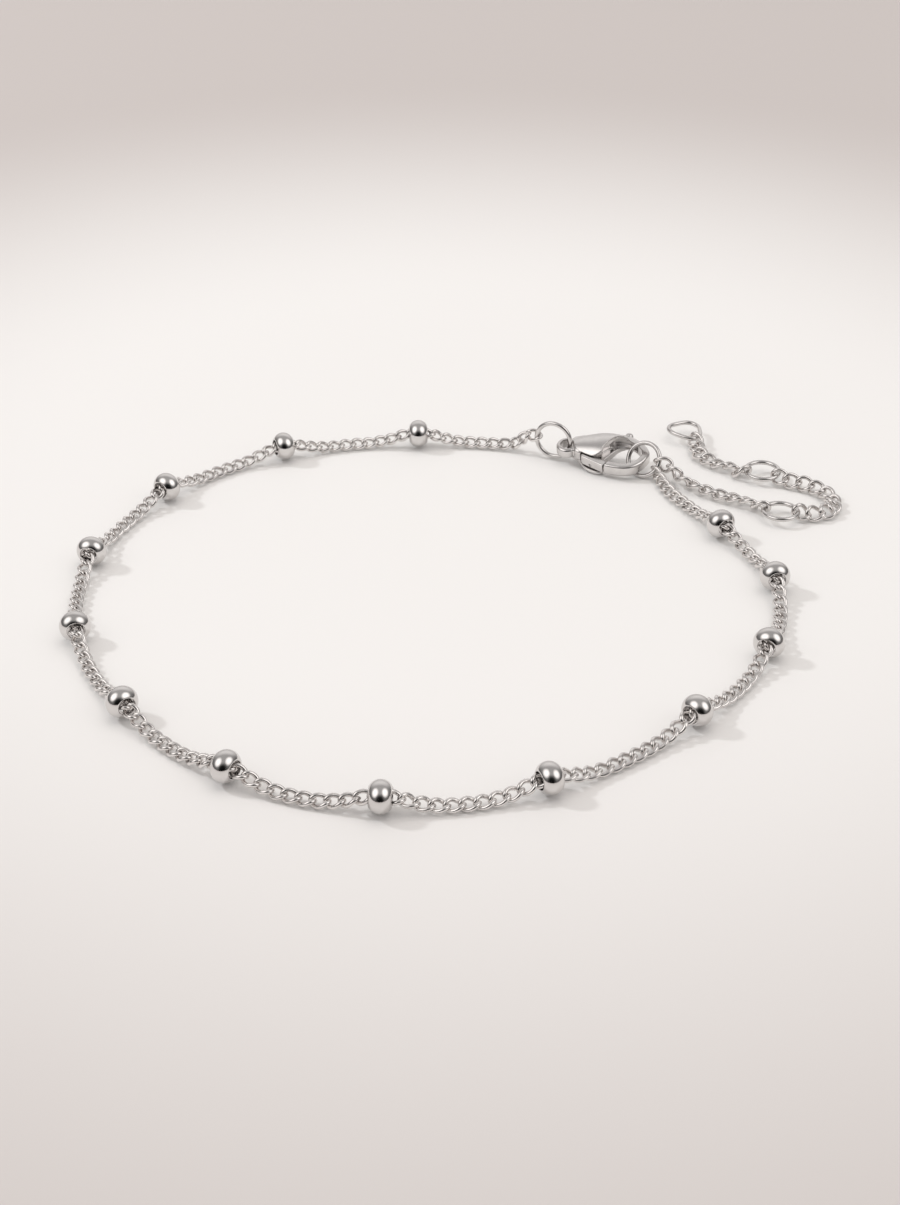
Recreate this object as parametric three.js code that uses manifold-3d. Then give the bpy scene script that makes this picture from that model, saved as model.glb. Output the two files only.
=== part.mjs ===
// Beaded chain anklet lying in a closed loop: thirteen drilled round beads on a fine curb chain,
// a lobster clasp fastened through a jump ring, and a curb extender with two rings and an end ring.
// Millimetres, +Z up. The jewel lies on the plane z = 0 and is centred on it.

import * as THREE from 'three';
import { mergeVertices } from 'three/addons/utils/BufferGeometryUtils.js';
import Module from 'manifold-3d';

const wasm = await Module();
wasm.setup();

// Beads
const beadDiameter = 3.0;
const beadLength = 2.0;
const beadBoreClearance = 0.12;
const beadRimChamfer = 0.06;
const beadSides = 16;
const beadArcSteps = 5;

// Fine chain that carries the beads
const chainWidth = 1.4;
const chainWire = 0.34;
const chainEndLinkLength = 2.05;
const chainTubeSides = 8;
const chainKnotsPerSpan = 4;
const chainBeadLead = 0.2;
const chainSagLength = 4.5;
const chainPathDivisions = 2000;

// Heavier chain of the extender
const extenderWidth = 1.9;
const extenderWire = 0.36;
const extenderPitch = 1.52;
const linkContactSink = 0.05;
const linkQuarterTwist = 45;

// Rings
const jumpRingDiameter = 4.4;
const jumpRingWire = 0.5;
const hookRingDiameter = 4.1;
const extenderRingDiameter = 4.05;
const extenderRingWire = 0.5;
const endRingDiameter = 4.0;
const endRingCorner = 0.1;
const ringSides = 16;
const linkSides = 10;
const wireSides = 6;
const threadClearance = 0.1;

// Clasp, in its own frame: u runs from the eye to the hook's far end, v to the far side, w up
const claspLength = 10.8;
const claspWidth = 5.75;
const claspThickness = 3.0;
const hookHeight = 1.25;
const hookBevel = 0.24;
const lipHeight = 0.28;
const outlineSteps = 32;
const domeSides = 20;
const roundSides = 16;
const eyeDiameter = 2.4;
const eyeBore = 1.45;
const eyeHeight = 1.2;
const claspHeading = -18;
const claspRoll = 15;
const leverThickness = 0.85;
const leverHeight = 1.1;
const leverReach = 2.2;
const leverHeading = -21;
const leverBack = 0.85;
const leverBevel = 0.1;
const leverArcSteps = 5;
const leverOpening = 25;
const leverSweepSteps = 3;
const leverClearance = 0.16;
const pinDiameter = 0.6;
const pinClearance = 0.12;
const pinSeat = 0.16;
const pinCap = 0.3;
const nubDiameter = 0.95;
const nubRise = 0.3;
const nubSides = 12;

// Corners of a mesh this close together are one
const weldDistance = 1e-5;

// The chosen points of the chains' routes, seen from above
const routes = {
  main: [
    { kind: 'span', x: 6.6, y: 32.9 },
    { kind: 'span', x: 1.9, y: 33.7 },
    { kind: 'bead', x: -3.5, y: 33.8 },
    { kind: 'span', x: -11.1, y: 33.1 },
    { kind: 'bead', x: -18.2, y: 30.7 },
    { kind: 'span', x: -24.5, y: 27.0 },
    { kind: 'bead', x: -29.8, y: 21.2 },
    { kind: 'span', x: -33.4, y: 15.0 },
    { kind: 'bead', x: -35.7, y: 7.5 },
    { kind: 'span', x: -36.1, y: 0.4 },
    { kind: 'bead', x: -35.1, y: -6.8 },
    { kind: 'span', x: -32.7, y: -13.2 },
    { kind: 'bead', x: -29.0, y: -19.5 },
    { kind: 'span', x: -24.3, y: -25.0 },
    { kind: 'bead', x: -18.9, y: -29.3 },
    { kind: 'span', x: -12.5, y: -32.4 },
    { kind: 'bead', x: -5.7, y: -33.6 },
    { kind: 'span', x: 1.6, y: -33.2 },
    { kind: 'bead', x: 8.3, y: -31.0 },
    { kind: 'span', x: 15.3, y: -26.7 },
    { kind: 'bead', x: 21.7, y: -20.9 },
    { kind: 'span', x: 26.3, y: -15.5 },
    { kind: 'bead', x: 29.5, y: -9.7 },
    { kind: 'span', x: 31.4, y: -3.7 },
    { kind: 'bead', x: 31.7, y: 2.5 },
    { kind: 'span', x: 30.2, y: 8.1 },
    { kind: 'bead', x: 27.6, y: 13.1 },
    { kind: 'span', x: 25.3, y: 17.9 },
    { kind: 'span', x: 23.2, y: 22.0 },
  ],
  extender1: [
    { x: 25.7, y: 23.3 },
    { x: 28.5, y: 21.3 },
    { x: 31.2, y: 19.5 },
  ],
  extender2: [
    { x: 37.6, y: 16.8 },
    { x: 39.4, y: 17.6 },
    { x: 40.2, y: 19.6 },
    { x: 39.6, y: 21.7 },
    { x: 37.9, y: 23.3 },
  ],
  extender3: [
    { x: 30.6, y: 27.2 },
    { x: 28.6, y: 28.8 },
    { x: 27.2, y: 31.0 },
  ],
};

// Where each ring's centre lies, how far it leans back from upright or flat, and how it is turned
const ringPlaces = {
  eye: { x: 11.3, y: 30.8, z: 2.2, rise: 0, turn: -24 },
  first: { x: 34.3, y: 17.0, z: 0.82, rise: 90, turn: 0 },
  second: { x: 33.6, y: 26.1, z: 0.84, rise: 86, turn: 0 },
  end: { x: 26.3, y: 35.6, z: 1.0, rise: 84, turn: 60 },
};

// Where the middle of the clasp's eye lies
const claspPlace = { x: 12.8, y: 30.15, z: 1.55 };

// Where the middle of the ring on the hook lies, as shares of the clasp's reach, half width and thickness
const hookRingPlace = { u: 0.899, v: -0.106, w: 0.072, rise: 30, turn: -32 };

// Where the chains leave each ring, as an angle round the ring
const seatAngles = {
  mainStart: 180,
  mainEnd: -30,
  extenderStart: 0,
  firstIn: 145,
  firstOut: -4,
  secondIn: -40,
  secondOut: 175,
  endIn: -130,
};

// Outlines of the clasp seen from above, as shares of its length past the eye's centre and of its half width
const claspOutline = [
  { u: 0.04, v: 0.42 },
  { u: 0.15, v: 0.64 },
  { u: 0.29, v: 0.84 },
  { u: 0.44, v: 0.94 },
  { u: 0.58, v: 0.97 },
  { u: 0.69, v: 0.91 },
  { u: 0.81, v: 0.71 },
  { u: 0.9, v: 0.44 },
  { u: 0.95, v: 0.12 },
  { u: 0.93, v: -0.24 },
  { u: 0.875, v: -0.58 },
  { u: 0.79, v: -0.83 },
  { u: 0.68, v: -0.93 },
  { u: 0.56, v: -0.93 },
  { u: 0.45, v: -0.88 },
  { u: 0.33, v: -0.72 },
  { u: 0.22, v: -0.46 },
  { u: 0.1, v: -0.28 },
];
const mouthOutline = [
  { u: 0.45, v: -0.5 },
  { u: 0.52, v: -0.63 },
  { u: 0.62, v: -0.68 },
  { u: 0.71, v: -0.66 },
  { u: 0.79, v: -0.52 },
  { u: 0.845, v: -0.26 },
  { u: 0.865, v: 0.06 },
  { u: 0.82, v: 0.34 },
  { u: 0.73, v: 0.58 },
  { u: 0.64, v: 0.68 },
  { u: 0.565, v: 0.62 },
  { u: 0.515, v: 0.42 },
  { u: 0.47, v: 0.12 },
  { u: 0.43, v: -0.2 },
];
// The edge of the clasp's domed cover, which stops short of the lever's outer wall
const coverOutline = [
  { u: 0.04, v: 0.36 },
  { u: 0.15, v: 0.62 },
  { u: 0.29, v: 0.83 },
  { u: 0.44, v: 0.93 },
  { u: 0.6, v: 0.95 },
  { u: 0.72, v: 0.87 },
  { u: 0.66, v: 0.5 },
  { u: 0.52, v: -0.08 },
  { u: 0.43, v: -0.3 },
  { u: 0.36, v: -0.45 },
  { u: 0.28, v: -0.46 },
  { u: 0.2, v: -0.34 },
  { u: 0.1, v: -0.14 },
];
// The thin floor plate under the lever, whose near edge shows as a lip
const lipOutline = [
  { u: 0.06, v: 0.12 },
  { u: 0.3, v: 0.3 },
  { u: 0.43, v: -0.2 },
  { u: 0.47, v: -0.72 },
  { u: 0.43, v: -0.84 },
  { u: 0.36, v: -0.84 },
  { u: 0.28, v: -0.75 },
  { u: 0.2, v: -0.53 },
  { u: 0.12, v: -0.26 },
  { u: 0.06, v: -0.14 },
];
// Radii of the clasp's domed body along its length, as shares of its reach and of its half width
const domeSections = [
  { u: 0.0, radius: 0.0 },
  { u: 0.03, radius: 0.4 },
  { u: 0.14, radius: 0.66 },
  { u: 0.28, radius: 0.87 },
  { u: 0.4, radius: 0.98 },
  { u: 0.52, radius: 1.0 },
  { u: 0.62, radius: 0.93 },
  { u: 0.7, radius: 0.7 },
  { u: 0.75, radius: 0.0 },
];
// The lever's pivot, as shares of the same two sizes
const leverPivot = { u: 0.28, v: -0.5 };
const nubPlace = { u: 0.65, v: 0.97 };

const silver = { color: 0xd9d8d6, roughness: 0.16, metalness: 1.0 };
const steel = { color: 0xcfcfce, roughness: 0.24, metalness: 1.0 };

const degrees = THREE.MathUtils.degToRad;
const vector = (x, y, z) => new THREE.Vector3(x, y, z);

function solidOf(geometry) {
  const bare = geometry.clone();
  bare.deleteAttribute('normal');
  bare.deleteAttribute('uv');
  const merged = mergeVertices(bare, weldDistance);
  return new wasm.Manifold(new wasm.Mesh({
    numProp: 3,
    vertProperties: new Float32Array(merged.attributes.position.array),
    triVerts: new Uint32Array(merged.index.array),
  }));
}

function geometryOf(solid) {
  const mesh = solid.getMesh();
  const geometry = new THREE.BufferGeometry();
  geometry.setAttribute('position', new THREE.BufferAttribute(mesh.vertProperties, 3));
  geometry.setIndex(new THREE.BufferAttribute(mesh.triVerts, 1));
  return geometry;
}

function named(name, geometry, finish) {
  const mesh = new THREE.Mesh(geometry, new THREE.MeshStandardMaterial(finish));
  mesh.name = name;
  return mesh;
}

// A round bead, drilled along Y, which is also the chain's way through it. Its outer curve is one arc
// from rim to rim over the widest place.
function beadGeometry() {
  const bore = chainWidth / 2 + beadBoreClearance;
  const half = beadLength / 2;
  const rise = beadDiameter / 2 - bore - beadRimChamfer;
  const arcRadius = (rise * rise + half * half) / (2 * rise);
  const arcCentre = beadDiameter / 2 - arcRadius;
  const rimAngle = Math.asin(half / arcRadius);
  const profile = [new THREE.Vector2(bore, -half + beadRimChamfer)];
  for (let i = 0; i <= beadArcSteps; i += 1) {
    const angle = -rimAngle + (2 * rimAngle * i) / beadArcSteps;
    profile.push(new THREE.Vector2(arcCentre + arcRadius * Math.cos(angle), arcRadius * Math.sin(angle)));
  }
  profile.push(new THREE.Vector2(bore, half - beadRimChamfer));
  profile.push(profile[0].clone());
  return new THREE.LatheGeometry(profile, beadSides);
}

// An oval wire link along X, rolled about X from one end to the other as a curb link is
function linkGeometry({ length, width, wire, rollStart, rollEnd }) {
  const geometry = new THREE.TorusGeometry((width - wire) / 2, wire / 2, wireSides, linkSides);
  const places = geometry.attributes.position;
  for (let i = 0; i < places.count; i += 1) {
    const side = places.getX(i) < 0 ? -1 : 1;
    const place = vector(places.getX(i) + (side * (length - width)) / 2, places.getY(i), places.getZ(i));
    const share = place.x / length + 0.5;
    place.applyAxisAngle(vector(1, 0, 0), degrees(rollStart + (rollEnd - rollStart) * share));
    places.setXYZ(i, place.x, place.y, place.z);
  }
  return geometry;
}

// How high a link's middle lies above the surface that it rests on
function lyingHeight(sizes) {
  const geometry = linkGeometry(sizes);
  geometry.computeBoundingBox();
  return geometry.boundingBox.max.z;
}

// Turns X to the given direction and keeps Z as near upright as that allows
function uprightTurn(direction) {
  const side = vector(0, 0, 1).cross(direction).normalize();
  const up = direction.clone().cross(side);
  return new THREE.Matrix4().makeBasis(direction, side, up);
}

// Ring frames: the ring's plane holds h, which is level, and w, which rises
// A place given in the clasp's own frame, in the jewel's frame
function besideClasp({ u, v, w, rise, turn }) {
  const reach = claspLength - eyeDiameter / 2;
  const place = vector(u * reach, (v * claspWidth) / 2, w * claspThickness);
  place.applyEuler(new THREE.Euler(degrees(claspRoll), 0, degrees(claspHeading), 'ZXY'));
  place.add(claspPlace);
  return { x: place.x, y: place.y, z: place.z, rise, turn };
}

function ringFrame({ x, y, z, rise, turn }) {
  const h = vector(Math.cos(degrees(turn)), Math.sin(degrees(turn)), 0);
  const back = vector(-Math.sin(degrees(turn)), Math.cos(degrees(turn)), 0);
  const w = back.multiplyScalar(Math.sin(degrees(rise))).add(vector(0, 0, Math.cos(degrees(rise))));
  return { centre: vector(x, y, z), h, w, normal: h.clone().cross(w) };
}

function ringMesh(name, place, diameter, wire, corner = 0) {
  const middle = (diameter - wire) / 2;
  const geometry = new THREE.TorusGeometry(middle, wire / 2, wireSides, ringSides);
  const places = geometry.attributes.position;
  for (let i = 0; i < places.count; i += 1) {
    const angle = Math.atan2(places.getY(i), places.getX(i));
    const out = corner * middle * Math.cos(3 * angle);
    places.setX(i, places.getX(i) + out * Math.cos(angle));
    places.setY(i, places.getY(i) + out * Math.sin(angle));
  }
  const { centre, h, w, normal } = ringFrame(place);
  const mesh = named(name, geometry, steel);
  mesh.quaternion.setFromRotationMatrix(new THREE.Matrix4().makeBasis(h, w, normal));
  mesh.position.copy(centre);
  return mesh;
}

// A chain's seat on a ring: the middle of the ring's wire there and the wire's own direction.
// On a ring that lies flat the link stands on edge, and the wire rests low in its hole.
function ringSeat(place, diameter, wire, angle, lift = 0) {
  const { centre, h, w } = ringFrame(place);
  const middle = (diameter - wire) / 2;
  const c = Math.cos(degrees(angle));
  const s = Math.sin(degrees(angle));
  const point = centre.clone().addScaledVector(h, middle * c).addScaledVector(w, middle * s);
  const along = h.clone().multiplyScalar(-s).addScaledVector(w, c);
  point.z += lift;
  return { point, along, wire };
}

// The roll that sets a link square across a ring's wire, taken near the wanted roll
function squareRoll(direction, along, wanted) {
  const turn = uprightTurn(direction);
  const local = along.clone().applyMatrix4(turn.clone().transpose());
  const roll = THREE.MathUtils.radToDeg(Math.atan2(-local.y, local.z));
  return roll + 180 * Math.round((wanted - roll) / 180);
}

// The direction from a seat towards the chain's next point, square to the ring's wire
function leavingDirection(seat, next) {
  const direction = next.clone().sub(seat.point);
  direction.addScaledVector(seat.along, -direction.dot(seat.along));
  return direction.normalize();
}

// The outer end of a link that hangs on a seat
function linkTip(seat, direction, wire) {
  const past = seat.wire / 2 + threadClearance + wire;
  return seat.point.clone().addScaledVector(direction, -past);
}

function placedLink(centre, direction, sizes) {
  const geometry = linkGeometry(sizes);
  const turn = uprightTurn(direction);
  turn.setPosition(centre);
  return solidOf(geometry.applyMatrix4(turn));
}

// A strand of interlocking curb links between two ring seats, fused where the links touch
function extenderStrand(name, startSeat, endSeat, route) {
  const rest = lyingHeight({
    length: extenderPitch + 2 * extenderWire,
    width: extenderWidth,
    wire: extenderWire,
    rollStart: -linkQuarterTwist,
    rollEnd: linkQuarterTwist,
  });
  const middle = route.map(({ x, y }) => vector(x, y, rest));
  const startDirection = leavingDirection(startSeat, middle[0]);
  const endDirection = leavingDirection(endSeat, middle[middle.length - 1]);
  const startTip = linkTip(startSeat, startDirection, extenderWire);
  const endTip = linkTip(endSeat, endDirection, extenderWire);
  const curve = new THREE.CatmullRomCurve3([
    startTip,
    startSeat.point.clone().addScaledVector(startDirection, extenderWidth / 2),
    ...middle,
    endSeat.point.clone().addScaledVector(endDirection, extenderWidth / 2),
    endTip,
  ], false, 'centripetal');
  const span = curve.getLength();
  const count = Math.round((span - 2 * extenderWire) / extenderPitch);
  const length = (span - 2 * extenderWire) / count + 2 * extenderWire - linkContactSink;
  const inset = length / 2 / span;
  let chain = null;
  for (let i = 0; i < count; i += 1) {
    const at = inset + ((1 - 2 * inset) * i) / (count - 1);
    const centre = curve.getPointAt(at);
    const ahead = curve.getPointAt(at + inset / 2).sub(curve.getPointAt(at - inset / 2)).normalize();
    const rollStart = i === 0 ? squareRoll(ahead, startSeat.along, linkQuarterTwist) : -linkQuarterTwist;
    const rollEnd = i === count - 1 ? squareRoll(ahead, endSeat.along, -linkQuarterTwist) : linkQuarterTwist;
    const sizes = { length, width: extenderWidth, wire: extenderWire, rollStart, rollEnd };
    const link = placedLink(centre, ahead, sizes);
    chain = chain ? chain.add(link) : link;
  }
  return named(name, geometryOf(chain), silver);
}

// A path that steps from knot to knot
class KnotPath extends THREE.Curve {
  constructor(knots) {
    super();
    this.knots = knots;
  }

  getPoint(t) {
    const last = this.knots.length - 1;
    const place = THREE.MathUtils.clamp(t * last, 0, last);
    const index = Math.min(Math.floor(place), last - 1);
    return this.knots[index].clone().lerp(this.knots[index + 1], place - index);
  }

  getUtoTmapping(u) {
    return u;
  }
}

// The bead-carrying chain in outline, with a link at each end that hangs on its ring
function mainChain(startSeat, endSeat) {
  const flat = routes.main.map(({ x, y }) => vector(x, y, 0));
  const first = startSeat.point.clone().setZ(0);
  const last = endSeat.point.clone().setZ(0);
  const plan = new THREE.CatmullRomCurve3([first, ...flat, last], false, 'centripetal');
  plan.arcLengthDivisions = chainPathDivisions;
  const total = plan.getLength();
  const nodes = routes.main.length + 1;
  const lengths = plan.getLengths(chainPathDivisions);
  const beadStops = [];
  routes.main.forEach(({ kind }, i) => {
    if (kind === 'bead') beadStops.push(lengths[Math.round(((i + 1) / nodes) * chainPathDivisions)]);
  });
  const restHeight = chainWidth / 2;
  const beadHeight = beadDiameter / 2;
  const half = beadLength / 2 + chainBeadLead;
  const supports = [
    { stop: 0, height: startSeat.point.z, half: 0 },
    ...beadStops.map((stop) => ({ stop, height: beadHeight, half })),
    { stop: total, height: endSeat.point.z, half: 0 },
  ];
  const heightAt = (stop) => {
    let height = restHeight;
    supports.forEach((support) => {
      const away = Math.max(0, Math.abs(stop - support.stop) - support.half);
      const drop = Math.max(0, 1 - away / chainSagLength);
      height = Math.max(height, restHeight + (support.height - restHeight) * drop * drop);
    });
    return height;
  };
  const pointAt = (stop) => plan.getPointAt(THREE.MathUtils.clamp(stop / total, 0, 1)).setZ(heightAt(stop));
  const beads = [];
  const knots = [];
  for (let i = 0; i < supports.length - 1; i += 1) {
    const from = supports[i].stop + supports[i].half;
    const to = supports[i + 1].stop - supports[i + 1].half;
    if (i > 0) {
      const centre = pointAt(supports[i].stop);
      const tangent = plan.getTangentAt(supports[i].stop / total);
      beads.push({ centre, tangent });
      knots.push(centre.clone().addScaledVector(tangent, half));
    }
    for (let k = 1; k < chainKnotsPerSpan; k += 1) {
      knots.push(pointAt(from + ((to - from) * k) / chainKnotsPerSpan));
    }
    if (i < supports.length - 2) {
      const next = supports[i + 1];
      const tangent = plan.getTangentAt(next.stop / total);
      knots.push(pointAt(next.stop).addScaledVector(tangent, -half));
    }
  }
  const startDirection = leavingDirection(startSeat, knots[0]);
  const endDirection = leavingDirection(endSeat, knots[knots.length - 1]);
  const linkAt = (seat, direction) => {
    const tip = linkTip(seat, direction, chainWire);
    const centre = tip.clone().addScaledVector(direction, chainEndLinkLength / 2);
    const roll = squareRoll(direction, seat.along, linkQuarterTwist);
    return placedLink(centre, direction, {
      length: chainEndLinkLength,
      width: chainWidth,
      wire: chainWire,
      rollStart: roll,
      rollEnd: roll,
    });
  };
  const tubeStart = (seat, direction) => linkTip(seat, direction, chainWire)
    .addScaledVector(direction, chainEndLinkLength - chainWire);
  const path = new KnotPath([
    tubeStart(startSeat, startDirection),
    ...knots,
    tubeStart(endSeat, endDirection),
  ]);
  const section = new THREE.Shape();
  for (let i = 0; i < chainTubeSides; i += 1) {
    const angle = (2 * Math.PI * i) / chainTubeSides;
    const x = restHeight * Math.cos(angle);
    const y = restHeight * Math.sin(angle);
    if (i === 0) section.moveTo(x, y);
    else section.lineTo(x, y);
  }
  section.closePath();
  const tube = new THREE.ExtrudeGeometry(section, {
    steps: path.knots.length - 1,
    extrudePath: path,
    bevelEnabled: false,
  });
  const chain = solidOf(tube).add(linkAt(startSeat, startDirection)).add(linkAt(endSeat, endDirection));
  return { mesh: named('main_chain', geometryOf(chain), silver), beads };
}

function outlineShape(rows) {
  const reach = claspLength - eyeDiameter / 2;
  const points = rows.map(({ u, v }) => vector(u * reach, (v * claspWidth) / 2, 0));
  const curve = new THREE.CatmullRomCurve3(points, true, 'centripetal');
  return new THREE.Shape(curve.getPoints(outlineSteps).slice(0, -1).map(({ x, y }) => new THREE.Vector2(x, y)));
}

function prism(shape, height, bevel = 0) {
  const geometry = new THREE.ExtrudeGeometry(shape, {
    depth: height - 2 * bevel,
    bevelEnabled: bevel > 0,
    bevelThickness: bevel,
    bevelSize: bevel,
    bevelOffset: -bevel,
    bevelSegments: 1,
    steps: 1,
  });
  geometry.translate(0, 0, bevel - height / 2);
  return solidOf(geometry);
}

function upright(diameter, height, u, v) {
  const geometry = new THREE.CylinderGeometry(diameter / 2, diameter / 2, height, roundSides);
  return solidOf(geometry.rotateX(Math.PI / 2).translate(u, v, 0));
}

// The lever seen from above: a bar with a round back and a tip that is an arc about its pivot
function leverShape(pivot, heading, grow, outward) {
  const half = leverThickness / 2 + grow;
  const reach = leverReach + grow;
  const back = leverBack + grow;
  const tipAngle = Math.asin(half / reach);
  const local = [];
  for (let i = 0; i <= leverArcSteps; i += 1) {
    const angle = -tipAngle + (2 * tipAngle * i) / leverArcSteps;
    local.push([reach * Math.cos(angle), reach * Math.sin(angle)]);
  }
  for (let i = 0; i <= leverArcSteps; i += 1) {
    const angle = Math.PI / 2 + (Math.PI * i) / leverArcSteps;
    local.push([-(back - half) + half * Math.cos(angle), half * Math.sin(angle)]);
  }
  if (outward > 0) {
    local.push([-(back - half), -half - outward]);
    local.push([reach * Math.cos(tipAngle), -half - outward]);
  }
  const c = Math.cos(degrees(heading));
  const s = Math.sin(degrees(heading));
  return new THREE.Shape(local.map(([x, y]) => new THREE.Vector2(
    pivot.x + x * c - y * s,
    pivot.y + x * s + y * c,
  )));
}

function clasp() {
  const reach = claspLength - eyeDiameter / 2;
  const halfWidth = claspWidth / 2;
  const pivot = new THREE.Vector2(leverPivot.u * reach, leverPivot.v * halfWidth);
  const hook = prism(outlineShape(claspOutline), hookHeight, hookBevel);
  const domeProfile = domeSections.map(({ u, radius }) => new THREE.Vector2(radius * halfWidth, u * reach));
  const dome = new THREE.LatheGeometry(domeProfile, domeSides);
  dome.rotateZ(-Math.PI / 2);
  dome.scale(1, 1, claspThickness / claspWidth);
  const domed = solidOf(dome).intersect(prism(outlineShape(coverOutline), claspThickness));
  const slotHeight = leverHeight + 2 * leverClearance;
  const lip = prism(outlineShape(lipOutline), lipHeight).translate(0, 0, -(slotHeight + lipHeight) / 2);
  let body = hook.add(domed).add(lip).subtract(prism(outlineShape(mouthOutline), claspThickness));
  for (let i = 0; i <= leverSweepSteps; i += 1) {
    const heading = leverHeading + (leverOpening * i) / leverSweepSteps;
    const outward = i === 0 ? leverThickness : 0;
    body = body.subtract(prism(leverShape(pivot, heading, leverClearance, outward), slotHeight));
  }
  const pinTop = leverHeight / 2 - pinCap;
  const pinFoot = -slotHeight / 2 - pinSeat;
  const pinMiddle = (pinTop + pinFoot) / 2;
  body = body.add(upright(pinDiameter, pinTop - pinFoot, pivot.x, pivot.y).translate(0, 0, pinMiddle));
  body = body.add(upright(eyeDiameter, eyeHeight, 0, 0)).subtract(upright(eyeBore, claspThickness, 0, 0));
  const nub = new THREE.SphereGeometry(nubDiameter / 2, nubSides, nubSides / 2);
  nub.translate(nubPlace.u * reach, nubPlace.v * halfWidth, nubRise);
  body = body.add(solidOf(nub));
  const leverBar = prism(leverShape(pivot, leverHeading, 0, 0), leverHeight, leverBevel);
  const socket = upright(pinDiameter + 2 * pinClearance, claspThickness, pivot.x, pivot.y);
  const lever = leverBar.subtract(socket.translate(0, 0, pinTop + pinClearance - claspThickness / 2));
  const group = new THREE.Group();
  group.add(named('clasp_body', geometryOf(body), silver));
  group.add(named('clasp_lever', geometryOf(lever), silver));
  return group;
}

const seatLift = extenderWidth / 2 - extenderWire - extenderRingWire / 2 - 2 * threadClearance;
const hookRing = besideClasp(hookRingPlace);
const seats = {
  mainStart: ringSeat(ringPlaces.eye, jumpRingDiameter, jumpRingWire, seatAngles.mainStart),
  mainEnd: ringSeat(hookRing, hookRingDiameter, jumpRingWire, seatAngles.mainEnd),
  extenderStart: ringSeat(hookRing, hookRingDiameter, jumpRingWire, seatAngles.extenderStart),
  firstIn: ringSeat(ringPlaces.first, extenderRingDiameter, extenderRingWire, seatAngles.firstIn, seatLift),
  firstOut: ringSeat(ringPlaces.first, extenderRingDiameter, extenderRingWire, seatAngles.firstOut, seatLift),
  secondIn: ringSeat(ringPlaces.second, extenderRingDiameter, extenderRingWire, seatAngles.secondIn, seatLift),
  secondOut: ringSeat(ringPlaces.second, extenderRingDiameter, extenderRingWire, seatAngles.secondOut, seatLift),
  endIn: ringSeat(ringPlaces.end, endRingDiameter, extenderRingWire, seatAngles.endIn),
};

const jewel = new THREE.Group();
const main = mainChain(seats.mainStart, seats.mainEnd);
jewel.add(main.mesh);
main.beads.forEach(({ centre, tangent }, i) => {
  const bead = named(`bead_${String(i + 1).padStart(2, '0')}`, beadGeometry(), silver);
  bead.quaternion.setFromUnitVectors(vector(0, 1, 0), tangent);
  bead.position.copy(centre);
  jewel.add(bead);
});
jewel.add(ringMesh('jump_ring_eye', ringPlaces.eye, jumpRingDiameter, jumpRingWire));
jewel.add(ringMesh('jump_ring_hook', hookRing, hookRingDiameter, jumpRingWire));
jewel.add(ringMesh('extender_ring_1', ringPlaces.first, extenderRingDiameter, extenderRingWire));
jewel.add(ringMesh('extender_ring_2', ringPlaces.second, extenderRingDiameter, extenderRingWire));
jewel.add(ringMesh('extender_end_ring', ringPlaces.end, endRingDiameter, extenderRingWire, endRingCorner));
jewel.add(extenderStrand('extender_chain_1', seats.extenderStart, seats.firstIn, routes.extender1));
jewel.add(extenderStrand('extender_chain_2', seats.firstOut, seats.secondIn, routes.extender2));
jewel.add(extenderStrand('extender_chain_3', seats.secondOut, seats.endIn, routes.extender3));

const fastener = clasp();
fastener.position.set(claspPlace.x, claspPlace.y, claspPlace.z);
fastener.rotation.set(degrees(claspRoll), 0, degrees(claspHeading), 'ZXY');
jewel.add(fastener);

// The jewel is centred over the origin and its lowest point set on z = 0
jewel.updateMatrixWorld(true);
const box = new THREE.Box3().setFromObject(jewel, true);
const middle = box.getCenter(vector(0, 0, 0));
jewel.position.set(-middle.x, -middle.y, -box.min.z);

export default jewel;
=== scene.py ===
# Beaded chain anklet, fastened and lying in a loop on a pale surface
import math
import bmesh
import bpy
from mathutils import Matrix, Vector


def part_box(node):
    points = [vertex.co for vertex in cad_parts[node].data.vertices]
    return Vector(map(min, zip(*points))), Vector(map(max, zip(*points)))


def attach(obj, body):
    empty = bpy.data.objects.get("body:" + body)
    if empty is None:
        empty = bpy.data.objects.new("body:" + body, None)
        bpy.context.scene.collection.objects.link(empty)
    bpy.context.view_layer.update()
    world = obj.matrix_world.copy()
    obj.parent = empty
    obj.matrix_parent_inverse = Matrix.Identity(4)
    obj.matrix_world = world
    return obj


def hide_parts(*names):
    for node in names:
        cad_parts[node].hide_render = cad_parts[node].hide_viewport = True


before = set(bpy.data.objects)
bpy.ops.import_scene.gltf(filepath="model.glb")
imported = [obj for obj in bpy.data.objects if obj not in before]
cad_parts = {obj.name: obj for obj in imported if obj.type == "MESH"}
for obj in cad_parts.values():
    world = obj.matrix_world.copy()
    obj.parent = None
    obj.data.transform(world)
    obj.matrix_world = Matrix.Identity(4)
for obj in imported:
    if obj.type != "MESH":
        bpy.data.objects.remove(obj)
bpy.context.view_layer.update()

mm = 0.001
pieces = bpy.context.scene.collection

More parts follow.
